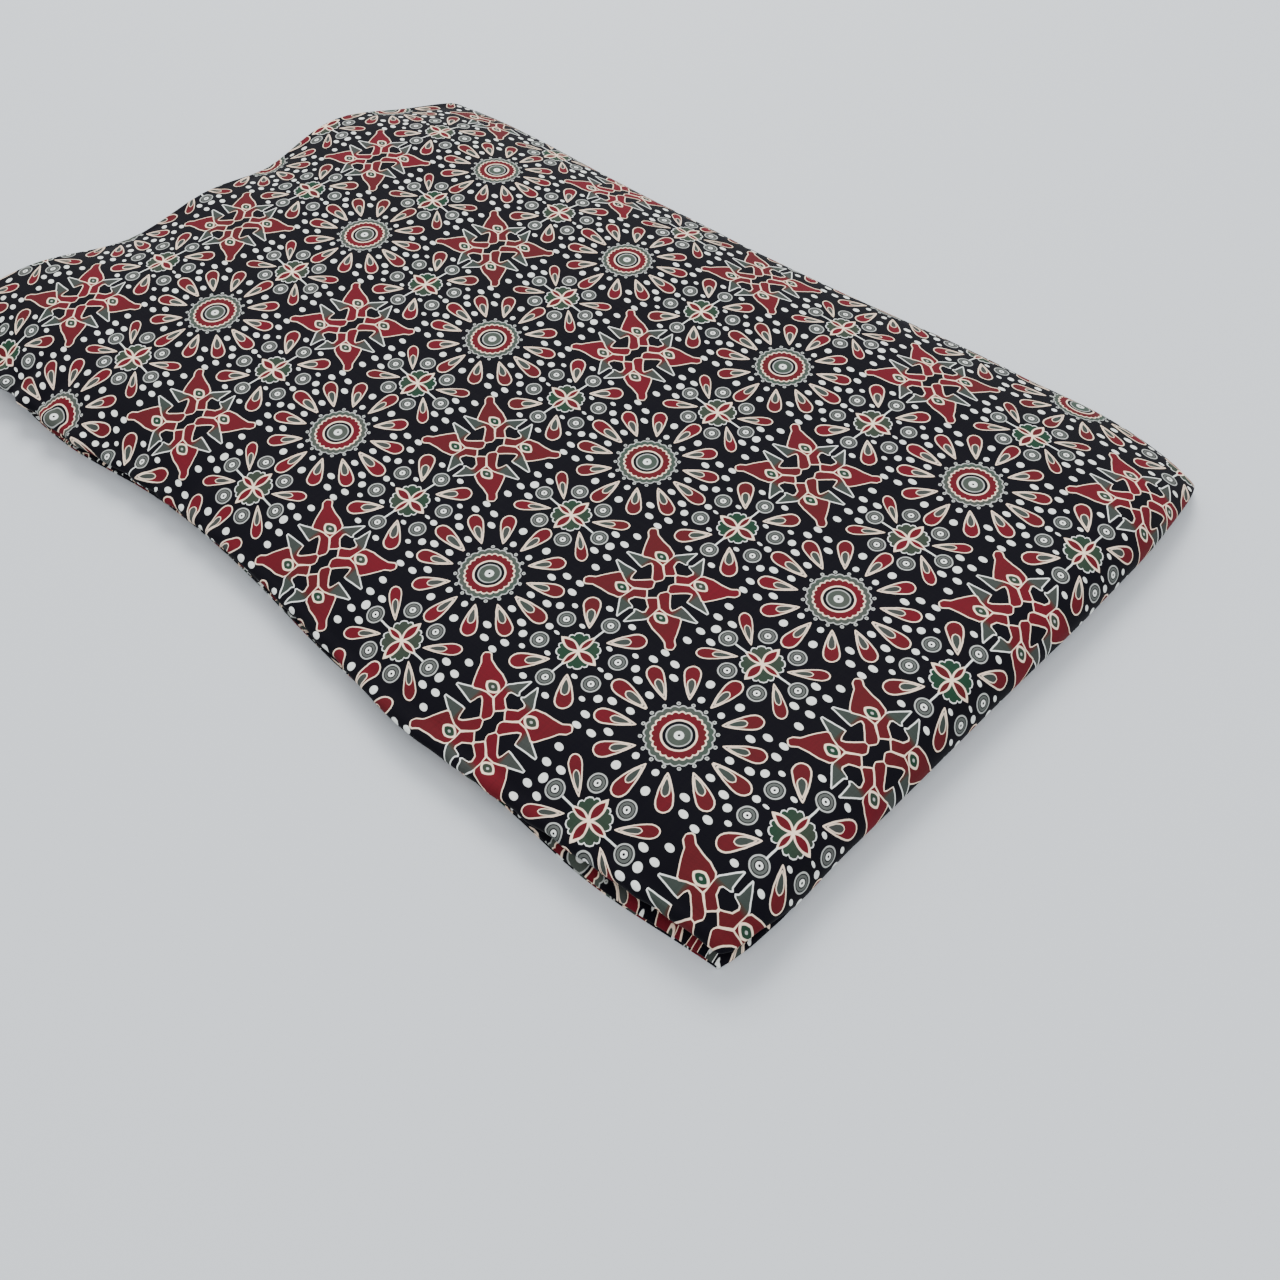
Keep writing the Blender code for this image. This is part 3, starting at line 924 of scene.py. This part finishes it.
def folded_cloth(material):
    """Lay a fine grid along the folds, and give it the thickness of one ply."""
    strips = strip_line()
    hairpins = hairpin_line()
    places = fold_places(strips, hairpins)
    middle_row = len(strips) - 1 - TOP_STEPS // 2
    across, along = cloth_measures(places, middle_row, OUTER_LENGTH_STEPS // 2)
    mesh = bpy.data.meshes.new("printed_cloth")
    grid = bmesh.new()
    bmesh.ops.create_grid(grid, x_segments=len(hairpins) - 1, y_segments=len(strips) - 1, size=1.0)
    measures = grid.loops.layers.uv.new("cloth")
    spots = {}
    for vertex in grid.verts:
        column = round((vertex.co.x + 1.0) / 2.0 * (len(hairpins) - 1))
        row = round((vertex.co.y + 1.0) / 2.0 * (len(strips) - 1))
        vertex.co = places[row, column]
        spots[vertex] = (across[row, column], along[row, column])
    for face in grid.faces:
        face.smooth = True
        for loop in face.loops:
            loop[measures].uv = spots[loop.vert]
    grid.to_mesh(mesh)
    grid.free()
    mesh.materials.append(material)
    cloth = bpy.data.objects.new("printed_cloth", mesh)
    bpy.context.scene.collection.objects.link(cloth)
    thickness = cloth.modifiers.new("ply", "SOLIDIFY")
    thickness.thickness = PLY
    thickness.offset = 0.0
    return cloth


def pale_floor():
    """Plain pale floor under the pile."""
    mesh = bpy.data.meshes.new("floor")
    grid = bmesh.new()
    bmesh.ops.create_grid(grid, x_segments=1, y_segments=1, size=FLOOR_HALF_SIZE)
    grid.to_mesh(mesh)
    grid.free()
    floor = bpy.data.objects.new("floor", mesh)
    bpy.context.scene.collection.objects.link(floor)
    material = bpy.data.materials.new("pale_floor")
    material.use_nodes = True
    shader = material.node_tree.nodes["Principled BSDF"]
    shader.inputs["Base Color"].default_value = FLOOR_COLOUR
    shader.inputs["Roughness"].default_value = FLOOR_ROUGHNESS
    shader.inputs["Specular IOR Level"].default_value = FLOOR_SPECULAR
    mesh.materials.append(material)
    return floor


def soft_light(name, place, size, power, colour):
    """A square lamp over the pile that faces its middle."""
    lamp = bpy.data.lights.new(name, "AREA")
    lamp.shape = "SQUARE"
    lamp.size = size
    lamp.energy = power
    lamp.color = colour
    holder = bpy.data.objects.new(name, lamp)
    holder.location = place
    holder.rotation_euler = (-Vector(place)).to_track_quat("-Z", "Y").to_euler()
    bpy.context.scene.collection.objects.link(holder)


def studio():
    """Soft light from all round, a little stronger from the far left."""
    world = bpy.data.worlds.new("studio")
    world.use_nodes = True
    back = world.node_tree.nodes["Background"]
    back.inputs["Color"].default_value = SKY_COLOUR
    back.inputs["Strength"].default_value = SKY_STRENGTH
    bpy.context.scene.world = world
    for lamp in LAMPS:
        soft_light(*lamp)


def photo_camera():
    """The photograph's viewing angle."""
    look = Vector(CAMERA_LOOK).normalized()
    right = Vector(CAMERA_RIGHT).normalized()
    up = right.cross(look).normalized()
    lens = bpy.data.cameras.new("photo_camera")
    lens.sensor_width = CAMERA_SENSOR
    lens.lens = CAMERA_LENS
    camera = bpy.data.objects.new("photo_camera", lens)
    turn = Matrix((right, up, -look)).transposed().to_4x4()
    camera.matrix_world = Matrix.Translation(CAMERA_PLACE) @ turn
    bpy.context.scene.collection.objects.link(camera)
    bpy.context.scene.camera = camera


photo_camera()
floor = pale_floor()
studio()
cloth = folded_cloth(printed_cotton(ajrakh_print(), cotton_weave()))
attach(cloth, "root")
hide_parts("folded_cloth")
